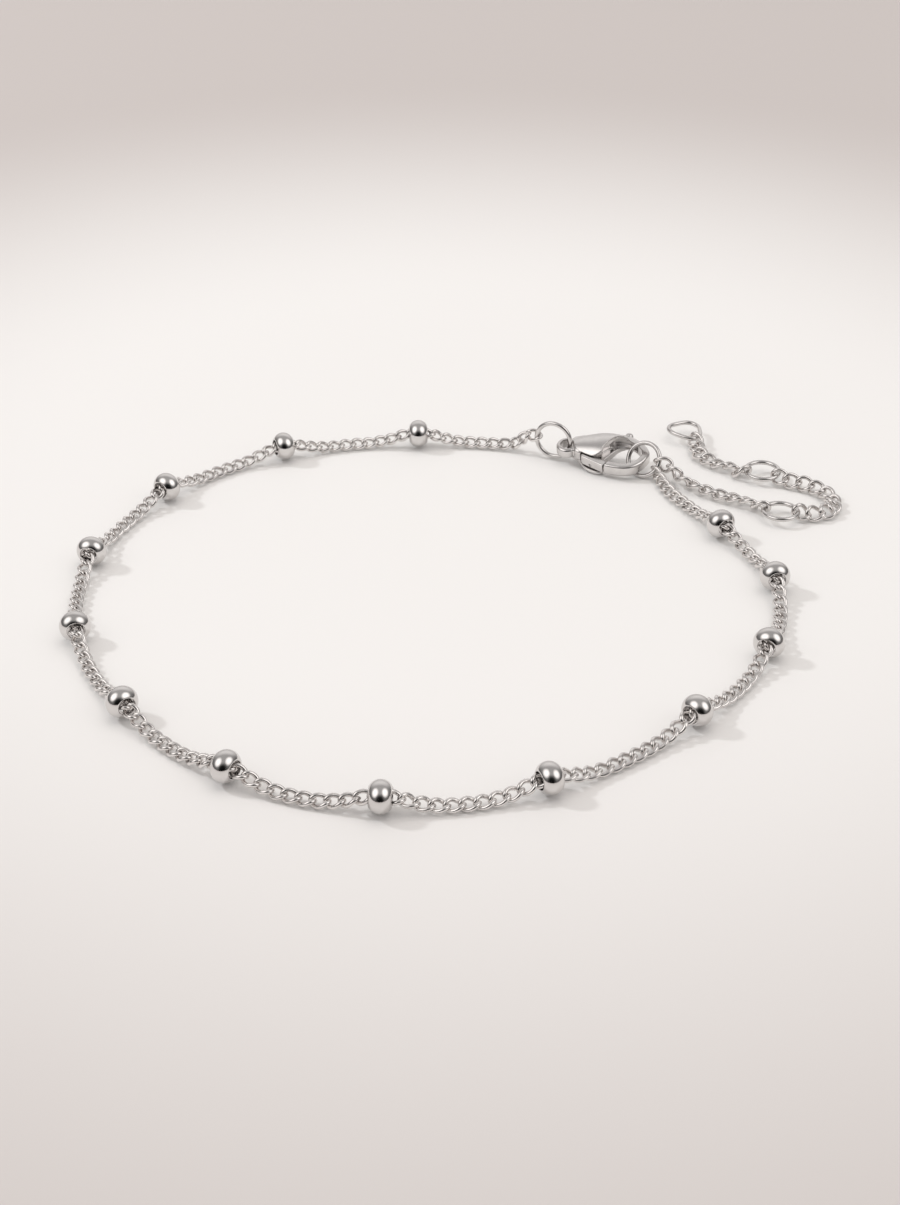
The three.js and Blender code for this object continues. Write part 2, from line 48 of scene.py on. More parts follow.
# The chosen points of the chains' routes, seen from above, in metres
chainRoutes = {
    "main": [
        ("span", 0.0066, 0.0329), ("span", 0.0019, 0.0337), ("bead", -0.0035, 0.0338),
        ("span", -0.0111, 0.0331), ("bead", -0.0182, 0.0307), ("span", -0.0245, 0.0270),
        ("bead", -0.0298, 0.0212), ("span", -0.0334, 0.0150), ("bead", -0.0357, 0.0075),
        ("span", -0.0361, 0.0004), ("bead", -0.0351, -0.0068), ("span", -0.0327, -0.0132),
        ("bead", -0.0290, -0.0195), ("span", -0.0243, -0.0250), ("bead", -0.0189, -0.0293),
        ("span", -0.0125, -0.0324), ("bead", -0.0057, -0.0336), ("span", 0.0016, -0.0332),
        ("bead", 0.0083, -0.0310), ("span", 0.0153, -0.0267), ("bead", 0.0217, -0.0209),
        ("span", 0.0263, -0.0155), ("bead", 0.0295, -0.0097), ("span", 0.0314, -0.0037),
        ("bead", 0.0317, 0.0025), ("span", 0.0302, 0.0081), ("bead", 0.0276, 0.0131),
        ("span", 0.0253, 0.0179), ("span", 0.0232, 0.0220),
    ],
    "extender1": [("span", 0.0257, 0.0233), ("span", 0.0285, 0.0213), ("span", 0.0312, 0.0195)],
    "extender2": [
        ("span", 0.0376, 0.0168), ("span", 0.0394, 0.0176), ("span", 0.0402, 0.0196),
        ("span", 0.0396, 0.0217), ("span", 0.0379, 0.0233),
    ],
    "extender3": [("span", 0.0306, 0.0272), ("span", 0.0286, 0.0288), ("span", 0.0272, 0.0310)],
}

beadSizes = {
    "diameter": 3.0 * mm,
    "length": 2.0 * mm,
    "bore": 1.64 * mm,
    "rimFillet": 0.07 * mm,
    "sides": 64,
    "arcSteps": 26,
    "filletSteps": 5,
}

claspPlace = {"eye": (0.0128, 0.03015, 0.00155), "heading": -18, "roll": 15}   # metres and degrees
claspSpan = {"reach": 9.6, "halfWidth": 2.875, "thickness": 3.0}   # millimetres, from the eye's centre
hookRingShares = {"reach": 0.899, "halfWidth": -0.106, "thickness": 0.072}   # its centre, in the span
claspTurn = (Matrix.Rotation(math.radians(claspPlace["heading"]), 3, "Z")
             @ Matrix.Rotation(math.radians(claspPlace["roll"]), 3, "X"))
hookRingOffset = Vector([hookRingShares[way] * claspSpan[way] for way in claspSpan])
hookRingCentre = Vector(claspPlace["eye"]) + claspTurn @ hookRingOffset * mm

ringPlaces = {   # centre in metres, then the lean back from upright and the turn in degrees
    "jump_ring_eye": {"centre": (0.0113, 0.0308, 0.0022), "rise": 0, "turn": -24},
    "jump_ring_hook": {"centre": hookRingCentre, "rise": 30, "turn": -32},
    "extender_ring_1": {"centre": (0.0343, 0.0170, 0.00082), "rise": 90, "turn": 0},
    "extender_ring_2": {"centre": (0.0336, 0.0261, 0.00084), "rise": 86, "turn": 0},
    "extender_end_ring": {"centre": (0.0263, 0.0356, 0.0010), "rise": 84, "turn": 60},
}
ringSizes = {   # corner is the share of the radius that the ring's three blunt corners stand out by
    "jump_ring_eye": {"diameter": 4.4 * mm, "wire": 0.5 * mm, "corner": 0.0},
    "jump_ring_hook": {"diameter": 4.1 * mm, "wire": 0.5 * mm, "corner": 0.0},
    "extender_ring_1": {"diameter": 4.05 * mm, "wire": 0.5 * mm, "corner": 0.0},
    "extender_ring_2": {"diameter": 4.05 * mm, "wire": 0.5 * mm, "corner": 0.0},
    "extender_end_ring": {"diameter": 4.0 * mm, "wire": 0.5 * mm, "corner": 0.1},
}



def nodeCentre(node):
    low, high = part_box(node)
    return (Vector(low) + Vector(high)) / 2


# The pack moves the part so that its middle is at the origin; the first bead tells by how much
firstBead = next(point for point in chainRoutes["main"] if point[0] == "bead")
shift = nodeCentre("bead_01") - Vector((firstBead[1], firstBead[2], beadSizes["diameter"] / 2))
print("frame shift", [round(v / mm, 3) for v in shift])


# Camera

cameraValues = {
    "place": (0.0, -0.17041, 0.10239),
    "elevation": 31.0,
    "lens": 61.33,
    "sensor": 36.0,
    "nearest": 0.005,
    "farthest": 20.0,
}


def makeCamera(values):
    data = bpy.data.cameras.new("photoCamera")
    data.lens = values["lens"]
    data.sensor_width = values["sensor"]
    data.clip_start = values["nearest"]
    data.clip_end = values["farthest"]
    camera = bpy.data.objects.new("photoCamera", data)
    camera.location = Vector(values["place"]) + shift
    camera.rotation_euler = (math.radians(90 - values["elevation"]), 0, 0)
    pieces.objects.link(camera)
    bpy.context.scene.camera = camera


makeCamera(cameraValues)
print("camera set")


# Materials

def newMaterial(name):
    material = bpy.data.materials.new(name)
    material.use_nodes = True
    tree = material.node_tree
    tree.nodes.clear()
    shader = tree.nodes.new("ShaderNodeBsdfPrincipled")
    output = tree.nodes.new("ShaderNodeOutputMaterial")
    output.location = (300, 0)
    tree.links.new(shader.outputs["BSDF"], output.inputs["Surface"])
    return material, tree, shader


def groupSocket(tree, name, way, kind, value=None):
    socket = tree.interface.new_socket(name=name, in_out=way, socket_type=kind)
    if value is not None:
        socket.default_value = value


polishValues = {
    "smudgeScale": 900.0,   # finger marks, about a millimetre across
    "smudgeDetail": 3.0,
    "smudgeFrom": 0.35,
    "smudgeTo": 0.7,
    "scratchDetail": 2.0,
    "scratchDistortion": 1.5,
    "bumpDistance": 0.1 * mm,
}


def handledPolishGroup(values):
    tree = bpy.data.node_groups.new("handledPolish", "ShaderNodeTree")
    groupSocket(tree, "Vector", "INPUT", "NodeSocketVector")
    groupSocket(tree, "Metal", "INPUT", "NodeSocketColor", (0.8, 0.8, 0.8, 1))
    groupSocket(tree, "Shaded Metal", "INPUT", "NodeSocketColor", (0.7, 0.7, 0.7, 1))
    groupSocket(tree, "Smooth", "INPUT", "NodeSocketFloat", 0.06)
    groupSocket(tree, "Dull", "INPUT", "NodeSocketFloat", 0.16)
    groupSocket(tree, "Grain Size", "INPUT", "NodeSocketFloat", 5000.0)
    groupSocket(tree, "Color", "OUTPUT", "NodeSocketColor")
    groupSocket(tree, "Roughness", "OUTPUT", "NodeSocketFloat")
    groupSocket(tree, "Height", "OUTPUT", "NodeSocketFloat")
    nodes, links = tree.nodes, tree.links
    entry = nodes.new("NodeGroupInput")
    leave = nodes.new("NodeGroupOutput")

    smudge = nodes.new("ShaderNodeTexNoise")
    smudge.inputs["Scale"].default_value = values["smudgeScale"]
    smudge.inputs["Detail"].default_value = values["smudgeDetail"]
    links.new(entry.outputs["Vector"], smudge.inputs["Vector"])
    smudgeRamp = nodes.new("ShaderNodeMapRange")
    smudgeRamp.inputs["From Min"].default_value = values["smudgeFrom"]
    smudgeRamp.inputs["From Max"].default_value = values["smudgeTo"]
    links.new(smudge.outputs["Fac"], smudgeRamp.inputs["Value"])

    scratch = nodes.new("ShaderNodeTexNoise")   # fine tumbling marks
    scratch.inputs["Detail"].default_value = values["scratchDetail"]
    scratch.inputs["Distortion"].default_value = values["scratchDistortion"]
    links.new(entry.outputs["Vector"], scratch.inputs["Vector"])
    links.new(entry.outputs["Grain Size"], scratch.inputs["Scale"])

    roughness = nodes.new("ShaderNodeMix")
    links.new(smudgeRamp.outputs["Result"], roughness.inputs["Factor"])
    links.new(entry.outputs["Smooth"], roughness.inputs["A"])
    links.new(entry.outputs["Dull"], roughness.inputs["B"])
    color = nodes.new("ShaderNodeMix")
    color.data_type = "RGBA"
    links.new(smudgeRamp.outputs["Result"], color.inputs["Factor"])
    links.new(entry.outputs["Metal"], color.inputs["A"])
    links.new(entry.outputs["Shaded Metal"], color.inputs["B"])

    links.new(color.outputs["Result"], leave.inputs["Color"])
    links.new(roughness.outputs["Result"], leave.inputs["Roughness"])
    links.new(scratch.outputs["Fac"], leave.inputs["Height"])
    return tree


handledPolish = handledPolishGroup(polishValues)

finishes = {
    "beadSilver": {
        "metal": (0.73, 0.71, 0.7, 1), "shaded": (0.68, 0.66, 0.65, 1),
        "smooth": 0.07, "dull": 0.13, "grain": 4000.0, "bump": 0.02,
    },
    "chainSilver": {
        "metal": (0.83, 0.805, 0.79, 1), "shaded": (0.73, 0.7, 0.685, 1),
        "smooth": 0.1, "dull": 0.2, "grain": 6000.0, "bump": 0.03,
    },
    "ringSteel": {
        "metal": (0.72, 0.7, 0.69, 1), "shaded": (0.62, 0.6, 0.59, 1),
        "smooth": 0.12, "dull": 0.24, "grain": 6000.0, "bump": 0.04,
    },
    "claspSilver": {
        "metal": (0.74, 0.72, 0.71, 1), "shaded": (0.68, 0.66, 0.65, 1),
        "smooth": 0.18, "dull": 0.26, "grain": 4500.0, "bump": 0.04,
    },
}


def silverMaterial(name):
    values = finishes[name]
    material, tree, shader = newMaterial(name)
    place = tree.nodes.new("ShaderNodeTexCoord")
    polish = tree.nodes.new("ShaderNodeGroup")
    polish.node_tree = handledPolish
    polish.inputs["Metal"].default_value = values["metal"]
    polish.inputs["Shaded Metal"].default_value = values["shaded"]
    polish.inputs["Smooth"].default_value = values["smooth"]
    polish.inputs["Dull"].default_value = values["dull"]
    polish.inputs["Grain Size"].default_value = values["grain"]
    bump = tree.nodes.new("ShaderNodeBump")
    bump.inputs["Strength"].default_value = values["bump"]
    bump.inputs["Distance"].default_value = polishValues["bumpDistance"]
    tree.links.new(place.outputs["Object"], polish.inputs["Vector"])
    tree.links.new(polish.outputs["Color"], shader.inputs["Base Color"])
    tree.links.new(polish.outputs["Roughness"], shader.inputs["Roughness"])
    tree.links.new(polish.outputs["Height"], bump.inputs["Height"])
    tree.links.new(bump.outputs["Normal"], shader.inputs["Normal"])
    shader.inputs["Metallic"].default_value = 1.0
    return material


beadSilver = silverMaterial("beadSilver")
chainSilver = silverMaterial("chainSilver")
ringSteel = silverMaterial("ringSteel")
claspSilver = silverMaterial("claspSilver")
print("materials made")


# Helpers for meshes

def addPiece(name, mesh, material, slot, body, *nodes):
    piece = bpy.data.objects.new(name, mesh)
    mesh.materials.clear()
    mesh.materials.append(material)
    for face in mesh.polygons:
        face.use_smooth = True
    pieces.objects.link(piece)
    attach(piece, body)
    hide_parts(*nodes)


def gridMesh(name, rows, closedRows=True, closedColumns=True):
    mesh = bpy.data.meshes.new(name)
    count = len(rows)
    width = len(rows[0])
    faces = []
    for i in range(count if closedRows else count - 1):
        for j in range(width if closedColumns else width - 1):
            a = i * width + j
            b = i * width + (j + 1) % width
            c = ((i + 1) % count) * width + (j + 1) % width
            d = ((i + 1) % count) * width + j
            faces.append((a, b, c, d))
    mesh.from_pydata([point for row in rows for point in row], [], faces)
    outwards(mesh)
    return mesh


def outwards(mesh):
    work = bmesh.new()
    work.from_mesh(mesh)
    bmesh.ops.recalc_face_normals(work, faces=work.faces)
    work.to_mesh(mesh)
    work.free()


# The routes

def spline(points, steps=24):
    ends = [2 * points[0] - points[1]] + points + [2 * points[-1] - points[-2]]
    curve = []
    for i in range(1, len(ends) - 2):
        a, b, c, d = ends[i - 1:i + 3]
        ab = max((b - a).length, 1e-9) ** 0.5
        bc = max((c - b).length, 1e-9) ** 0.5
        cd = max((d - c).length, 1e-9) ** 0.5
        startSlope = ((b - a) / ab - (c - a) / (ab + bc) + (c - b) / bc) * bc
        endSlope = ((c - b) / bc - (d - b) / (bc + cd) + (d - c) / cd) * bc
        for k in range(steps):
            t = k / steps
            curve.append(b + startSlope * t + (3 * (c - b) - 2 * startSlope - endSlope) * t ** 2
                         + (2 * (b - c) + startSlope + endSlope) * t ** 3)
    curve.append(ends[-2].copy())
    return curve


def stops(curve):
    lengths = [0.0]
    for a, b in zip(curve, curve[1:]):
        lengths.append(lengths[-1] + (b - a).length)
    return lengths


def ringFrame(name):
    place = ringPlaces[name]
    turn = math.radians(place["turn"])
    rise = math.radians(place["rise"])
    level = Vector((math.cos(turn), math.sin(turn), 0))
    back = Vector((-math.sin(turn), math.cos(turn), 0))
    up = back * math.sin(rise) + Vector((0, 0, math.cos(rise)))
    return Vector(place["centre"]) + shift, level, up


def ringSeat(name, angle, lift=0.0):
    centre, level, up = ringFrame(name)
    middle = (ringSizes[name]["diameter"] - ringSizes[name]["wire"]) / 2
    c, s = math.cos(math.radians(angle)), math.sin(math.radians(angle))
    point = centre + level * middle * c + up * middle * s
    point.z += lift
    return {"point": point, "along": up * c - level * s, "wire": ringSizes[name]["wire"]}


# Floor and light

floorValues = {
    "size": 4.0,
    "color": (0.861, 0.858, 0.848, 1),
    "shade": (0.851, 0.842, 0.836, 1),
    # painted shade: the darker colour painted on the floor away from the middle, standing in for the light's
    # falloff
    "outer": (0.57, 0.53, 0.515, 1),
    "roughness": 0.7,
    "driftScale": 14.0,
    "driftDetail": 1.0,
    # the middle of the painted pool of light, and the distances over which the floor's colour is painted from its
    # own colour to the darker outer one
    "middle": (0.0, 0.03, 0.0),
    "paintedPoolInner": 0.045,
    "paintedPoolOuter": 0.14,
}


def makeFloor(values):
    half = values["size"] / 2
    mesh = bpy.data.meshes.new("studioFloor")
    corners = [(-half, -half, 0), (half, -half, 0), (half, half, 0), (-half, half, 0)]
    mesh.from_pydata(corners, [], [(0, 1, 2, 3)])
    material, tree, shader = newMaterial("paleFloor")
    place = tree.nodes.new("ShaderNodeTexCoord")
    drift = tree.nodes.new("ShaderNodeTexNoise")
    drift.inputs["Scale"].default_value = values["driftScale"]
    drift.inputs["Detail"].default_value = values["driftDetail"]
    tint = tree.nodes.new("ShaderNodeMix")
    tint.data_type = "RGBA"
    tint.inputs["A"].default_value = values["color"]
    tint.inputs["B"].default_value = values["shade"]
    tree.links.new(place.outputs["Object"], drift.inputs["Vector"])
    tree.links.new(drift.outputs["Fac"], tint.inputs["Factor"])
    away = tree.nodes.new("ShaderNodeVectorMath")   # painted light falloff: the floor's colour is painted palest at the middle and darker towards the edges, as a pool of light
    away.operation = "DISTANCE"
    away.inputs[1].default_value = values["middle"]
    tree.links.new(place.outputs["Object"], away.inputs[0])
    paintedLightPool = tree.nodes.new("ShaderNodeMapRange")
    paintedLightPool.interpolation_type = "SMOOTHSTEP"
    paintedLightPool.inputs["From Min"].default_value = values["paintedPoolInner"]
    paintedLightPool.inputs["From Max"].default_value = values["paintedPoolOuter"]
    tree.links.new(away.outputs["Value"], paintedLightPool.inputs["Value"])
    paintedFalloff = tree.nodes.new("ShaderNodeMix")
    paintedFalloff.data_type = "RGBA"
    paintedFalloff.inputs["B"].default_value = values["outer"]
    tree.links.new(paintedLightPool.outputs["Result"], paintedFalloff.inputs["Factor"])
    tree.links.new(tint.outputs["Result"], paintedFalloff.inputs["A"])
    tree.links.new(paintedFalloff.outputs["Result"], shader.inputs["Base Color"])
    shader.inputs["Roughness"].default_value = values["roughness"]
    mesh.materials.append(material)
    floor = bpy.data.objects.new("studioFloor", mesh)
    pieces.objects.link(floor)


lights = {   # place in metres, all aimed at the middle, size across, power in watts, colour
    "keyWindow": {"place": (-0.79, 0.30, 0.70), "size": 0.1, "power": 3.3, "color": (0.98, 0.99, 1.0)},
    "overheadSheet": {"place": (0.1, 0.1, 1.1), "size": 1.2, "power": 3.4, "color": (1.0, 0.92, 0.865)},
}
roomGlow = {   # the soft boxes round the table: direction, inner and outer angle in degrees, strength
    "leftBox": {"toward": (-0.66, -0.28, 0.695), "inner": 8, "outer": 34, "strength": 1.15},
    "rightBox": {"toward": (0.68, -0.26, 0.68), "inner": 7, "outer": 33, "strength": 1.15},
    "backWall": {"toward": (0.0, 0.98, 0.22), "inner": 18, "outer": 62, "strength": 0.5},
}
roomDark = {"toward": (0.0, -0.97, 0.24), "inner": 12, "outer": 46, "left": 0.03}   # behind the camera
roomBase = {"color": (1.0, 0.97, 0.95), "ceiling": 0.46, "ceilingFrom": 0.75, "low": 0.15, "even": 0.66}


def makeRoom():
    world = bpy.data.worlds.new("studioRoom")
    world.use_nodes = True
    tree = world.node_tree
    nodes, links = tree.nodes, tree.links
    backdrop = nodes["Background"]
    place = nodes.new("ShaderNodeTexCoord")
    way = nodes.new("ShaderNodeVectorMath")
    way.operation = "NORMALIZE"
    links.new(place.outputs["Generated"], way.inputs[0])
    parts = nodes.new("ShaderNodeSeparateXYZ")
    links.new(way.outputs["Vector"], parts.inputs["Vector"])

    def ramp(value, start, stop, low, high):
        node = nodes.new("ShaderNodeMapRange")
        node.interpolation_type = "SMOOTHSTEP"
        for label, number in zip(("From Min", "From Max", "To Min", "To Max"), (start, stop, low, high)):
            node.inputs[label].default_value = number
        links.new(value, node.inputs["Value"])
        return node.outputs["Result"]

    def glow(toward, inner, outer, low, high):
        dot = nodes.new("ShaderNodeVectorMath")
        dot.operation = "DOT_PRODUCT"
        dot.inputs[1].default_value = Vector(toward).normalized()
        links.new(way.outputs["Vector"], dot.inputs[0])
        edge, core = math.cos(math.radians(outer)), math.cos(math.radians(inner))
        return ramp(dot.outputs["Value"], edge, core, low, high)

    def joined(first, second, operation):
        node = nodes.new("ShaderNodeMath")
        node.operation = operation
        links.new(first, node.inputs[0])
        links.new(second, node.inputs[1])
        return node.outputs["Value"]

    total = ramp(parts.outputs["Z"], 0.0, roomBase["ceilingFrom"], roomBase["low"], roomBase["ceiling"])
    dark = glow(roomDark["toward"], roomDark["inner"], roomDark["outer"], 1.0, roomDark["left"])
    total = joined(total, dark, "MULTIPLY")
    for values in roomGlow.values():
        lobe = glow(values["toward"], values["inner"], values["outer"], 0.0, values["strength"])
        total = joined(total, lobe, "ADD")
    path = nodes.new("ShaderNodeLightPath")   # matt surfaces get the boxes' light as one even glow
    even = nodes.new("ShaderNodeMix")
    even.inputs["B"].default_value = roomBase["even"]
    links.new(path.outputs["Is Diffuse Ray"], even.inputs["Factor"])
    links.new(total, even.inputs["A"])
    backdrop.inputs["Color"].default_value = (*roomBase["color"], 1)
    links.new(even.outputs["Result"], backdrop.inputs["Strength"])
    bpy.context.scene.world = world


def makeLights():
    for name, values in lights.items():
        data = bpy.data.lights.new(name, "AREA")
        data.shape = "DISK"
        data.size = values["size"]
        data.energy = values["power"]
        data.color = values["color"]
        light = bpy.data.objects.new(name, data)
        light.location = values["place"]
        light.rotation_euler = (-Vector(values["place"])).to_track_quat("-Z", "Y").to_euler()
        light.visible_glossy = False   # the metal mirrors the room's soft boxes instead
        pieces.objects.link(light)


bpy.context.scene.view_settings.view_transform = "Standard"
makeFloor(floorValues)
makeRoom()
makeLights()
print("floor and lights set")


# Beads

def beadMesh(name, centre, along):
    half = beadSizes["length"] / 2
    radius = beadSizes["diameter"] / 2
    bore = beadSizes["bore"] / 2
    fillet = beadSizes["rimFillet"]
    rise = radius - bore - fillet
    arc = (rise * rise + half * half) / (2 * rise)   # one arc from rim to rim over the widest place
    rimAngle = math.asin(half / arc)
    outer = []
    for i in range(beadSizes["arcSteps"] + 1):
        angle = -rimAngle + 2 * rimAngle * i / beadSizes["arcSteps"]
        outer.append((radius - arc + arc * math.cos(angle), arc * math.sin(angle)))
    rim = []
    for i in range(1, beadSizes["filletSteps"] + 1):
        angle = math.pi / 2 + math.pi / 2 * i / beadSizes["filletSteps"]
        rim.append((bore + fillet + fillet * math.cos(angle), half - fillet + fillet * math.sin(angle)))
    profile = outer + rim + [(r, -a) for r, a in reversed(rim)]
    turn = Vector((0, 0, 1)).rotation_difference(along).to_matrix()
    rows = []
    for k in range(beadSizes["sides"]):
        angle = 2 * math.pi * k / beadSizes["sides"]
        c, s = math.cos(angle), math.sin(angle)
        rows.append([centre + turn @ Vector((r * c, r * s, a)) for r, a in profile])
    return gridMesh(name, rows)


mainLay = {
    "start": ("jump_ring_eye", 180),   # the ring and the angle on it, in degrees
    "end": ("jump_ring_hook", -30),
    "rest": 0.62 * mm,   # the height of the chain's middle line where it lies on the floor
    "lead": 1.6 * mm,   # the straight way out of each ring
    "leadShare": 0.6,
    "clearShare": 1.4,
    "planSteps": 48,
    "keepEvery": 6,
    "routeSteps": 8,
}
mainPoints = chainRoutes["main"]
startSeat = ringSeat(*mainLay["start"])
endSeat = ringSeat(*mainLay["end"])
throughPoints = [startSeat["point"], *[Vector((x, y, 0)) + shift for kind, x, y in mainPoints], endSeat["point"]]
plan = spline([Vector((p.x, p.y, 0)) for p in throughPoints], mainLay["planSteps"])
planStops = stops(plan)
beadRows = [i + 1 for i, (kind, x, y) in enumerate(mainPoints) if kind == "bead"]
beadStops = [planStops[row * mainLay["planSteps"]] for row in beadRows]
for count, row in enumerate(beadRows, 1):
    at = row * mainLay["planSteps"]
    along = (plan[at + 1] - plan[at - 1]).normalized()
    node = "bead_%02d" % count
    bead = beadMesh(node + "_polished", nodeCentre(node), along)
    addPiece(node + "_polished", bead, beadSilver, "beads", "anklet", node)
print("beads", len(beadRows))


# Rings

def ringMesh(name, sides=96, wireSides=20):
    centre, level, up = ringFrame(name)
    middle = (ringSizes[name]["diameter"] - ringSizes[name]["wire"]) / 2
    wire = ringSizes[name]["wire"] / 2
    corner = ringSizes[name]["corner"]
    normal = level.cross(up)
    rows = []
    for i in range(sides):
        angle = 2 * math.pi * i / sides
        outward = level * math.cos(angle) + up * math.sin(angle)
        reach = middle * (1 + corner * math.cos(3 * angle))
        row = []
        for k in range(wireSides):
            turn = 2 * math.pi * k / wireSides
            row.append(centre + outward * (reach + wire * math.cos(turn)) + normal * wire * math.sin(turn))
        rows.append(row)
    return gridMesh(name + "_wire", rows)


for name in ringPlaces:
    addPiece(name + "_wire", ringMesh(name), ringSteel, "rings", "anklet", name)
print("rings", len(ringPlaces))


# Curb links, made by geometry nodes along a curve

mainLinks = {
    "width": 1.5 * mm, "wire": 0.4 * mm, "pitch": 1.28 * mm,
    "twist": -60.0, "lean": 26.0, "loose": 7.0, "seed": 3,
}
extenderLinks = {
    "width": 1.95 * mm, "wire": 0.42 * mm, "pitch": 1.52 * mm,
    "twist": -52.0, "lean": 15.0, "loose": 4.0, "seed": 8,
}
linkDetail = {"ovalSteps": 24, "wireSides": 10}
threadClearance = 0.1 * mm
endRollLinks = 5   # the links over which a strand turns from lying flat to standing across its ring
restMargin = 0.03 * mm   # what the curve of the route can lift or drop a straight link by
routeGrain = 0.1 * mm


def linkTree():
    tree = bpy.data.node_groups.new("curbLinks", "GeometryNodeTree")
    groupSocket(tree, "Route", "INPUT", "NodeSocketGeometry")
    groupSocket(tree, "Link Count", "INPUT", "NodeSocketInt", 10)
    groupSocket(tree, "Link Length", "INPUT", "NodeSocketFloat", 0.002)
    groupSocket(tree, "Link Width", "INPUT", "NodeSocketFloat", 0.0014)
    groupSocket(tree, "Wire Diameter", "INPUT", "NodeSocketFloat", 0.00034)
    groupSocket(tree, "Twist", "INPUT", "NodeSocketFloat", math.radians(45))
    groupSocket(tree, "Loose Roll", "INPUT", "NodeSocketFloat", 0.0)
    groupSocket(tree, "Seed", "INPUT", "NodeSocketInt", 1)
    groupSocket(tree, "Finish", "INPUT", "NodeSocketMaterial")
    groupSocket(tree, "Links", "OUTPUT", "NodeSocketGeometry")
    nodes, links = tree.nodes, tree.links
    entry = nodes.new("NodeGroupInput")
    leave = nodes.new("NodeGroupOutput")

    def maths(operation, first, second=None):
        node = nodes.new("ShaderNodeMath")
        node.operation = operation
        for socket, value in zip(node.inputs, (first, second)):
            if value is None:
                continue
            if isinstance(value, (int, float)):
                socket.default_value = value
            else:
                links.new(value, socket)
        return node.outputs["Value"]

    width, length = entry.outputs["Link Width"], entry.outputs["Link Length"]
    wire = entry.outputs["Wire Diameter"]
    oval = nodes.new("GeometryNodeCurvePrimitiveCircle")   # the wire's middle line, first as a circle
    oval.inputs["Resolution"].default_value = linkDetail["ovalSteps"]
    links.new(maths("DIVIDE", maths("SUBTRACT", width, wire), 2.0), oval.inputs["Radius"])
    place = nodes.new("GeometryNodeInputPosition")
    parts = nodes.new("ShaderNodeSeparateXYZ")
    links.new(place.outputs["Position"], parts.inputs["Vector"])
    x, y = parts.outputs["X"], parts.outputs["Y"]
    stretch = maths("DIVIDE", maths("SUBTRACT", length, wire), maths("SUBTRACT", width, wire))
    longX = maths("MULTIPLY", x, stretch)
    roll = maths("MULTIPLY", maths("DIVIDE", maths("MULTIPLY", longX, 2.0), length), entry.outputs["Twist"])
    twisted = nodes.new("ShaderNodeCombineXYZ")
    links.new(longX, twisted.inputs["X"])
    links.new(maths("MULTIPLY", y, maths("COSINE", roll)), twisted.inputs["Y"])
    links.new(maths("MULTIPLY", y, maths("SINE", roll)), twisted.inputs["Z"])
    bend = nodes.new("GeometryNodeSetPosition")
    links.new(oval.outputs["Curve"], bend.inputs["Geometry"])
    links.new(twisted.outputs["Vector"], bend.inputs["Position"])
    section = nodes.new("GeometryNodeCurvePrimitiveCircle")
    section.inputs["Resolution"].default_value = linkDetail["wireSides"]
    links.new(maths("DIVIDE", wire, 2.0), section.inputs["Radius"])
    link = nodes.new("GeometryNodeCurveToMesh")
    links.new(bend.outputs["Geometry"], link.inputs["Curve"])
    links.new(section.outputs["Curve"], link.inputs["Profile Curve"])

    spots = nodes.new("GeometryNodeCurveToPoints")
    spots.mode = "COUNT"
    links.new(entry.outputs["Route"], spots.inputs["Curve"])
    links.new(entry.outputs["Link Count"], spots.inputs["Count"])
    ahead = nodes.new("FunctionNodeAlignRotationToVector")
    ahead.axis = "X"
    links.new(spots.outputs["Tangent"], ahead.inputs["Vector"])
    level = nodes.new("FunctionNodeAlignRotationToVector")
    level.axis = "Y"
    level.pivot_axis = "X"
    links.new(ahead.outputs["Rotation"], level.inputs["Rotation"])
    links.new(spots.outputs["Normal"], level.inputs["Vector"])
    loose = nodes.new("FunctionNodeRandomValue")
    loose.data_type = "FLOAT"
    floatInputs = [socket for socket in loose.inputs
                   if socket.type == "VALUE" and socket.name in ("Min", "Max")]
    links.new(maths("MULTIPLY", entry.outputs["Loose Roll"], -1.0), floatInputs[0])
    links.new(entry.outputs["Loose Roll"], floatInputs[1])
    links.new(entry.outputs["Seed"], loose.inputs["Seed"])
    spin = nodes.new("FunctionNodeAxisAngleToRotation")
    spin.inputs["Axis"].default_value = (1, 0, 0)
    looseValue = next(socket for socket in loose.outputs if socket.type == "VALUE")
    links.new(looseValue, spin.inputs["Angle"])
    settle = nodes.new("FunctionNodeRotateRotation")
    settle.rotation_space = "LOCAL"
    links.new(level.outputs["Rotation"], settle.inputs["Rotation"])
    links.new(spin.outputs["Rotation"], settle.inputs["Rotate By"])
    copies = nodes.new("GeometryNodeInstanceOnPoints")
    links.new(spots.outputs["Points"], copies.inputs["Points"])
    links.new(link.outputs["Mesh"], copies.inputs["Instance"])
    links.new(settle.outputs["Rotation"], copies.inputs["Rotation"])
    real = nodes.new("GeometryNodeRealizeInstances")
    links.new(copies.outputs["Instances"], real.inputs["Geometry"])
    finish = nodes.new("GeometryNodeSetMaterial")
    links.new(real.outputs["Geometry"], finish.inputs["Geometry"])
    links.new(entry.outputs["Finish"], finish.inputs["Material"])
    links.new(finish.outputs["Geometry"], leave.inputs["Links"])
    return tree


curbLinks = linkTree()


def socketId(tree, name):
    return next(item.identifier for item in tree.interface.items_tree if item.name == name)


def routeCurve(name, points, tilts):
    data = bpy.data.curves.new(name, "CURVE")
    data.dimensions = "3D"
    data.twist_mode = "Z_UP"
    line = data.splines.new("POLY")
    line.points.add(len(points) - 1)
    for spot, point, tilt in zip(line.points, points, tilts):
        spot.co = (*point, 1)
        spot.tilt = tilt
    curve = bpy.data.objects.new(name, data)
    pieces.objects.link(curve)
    return curve


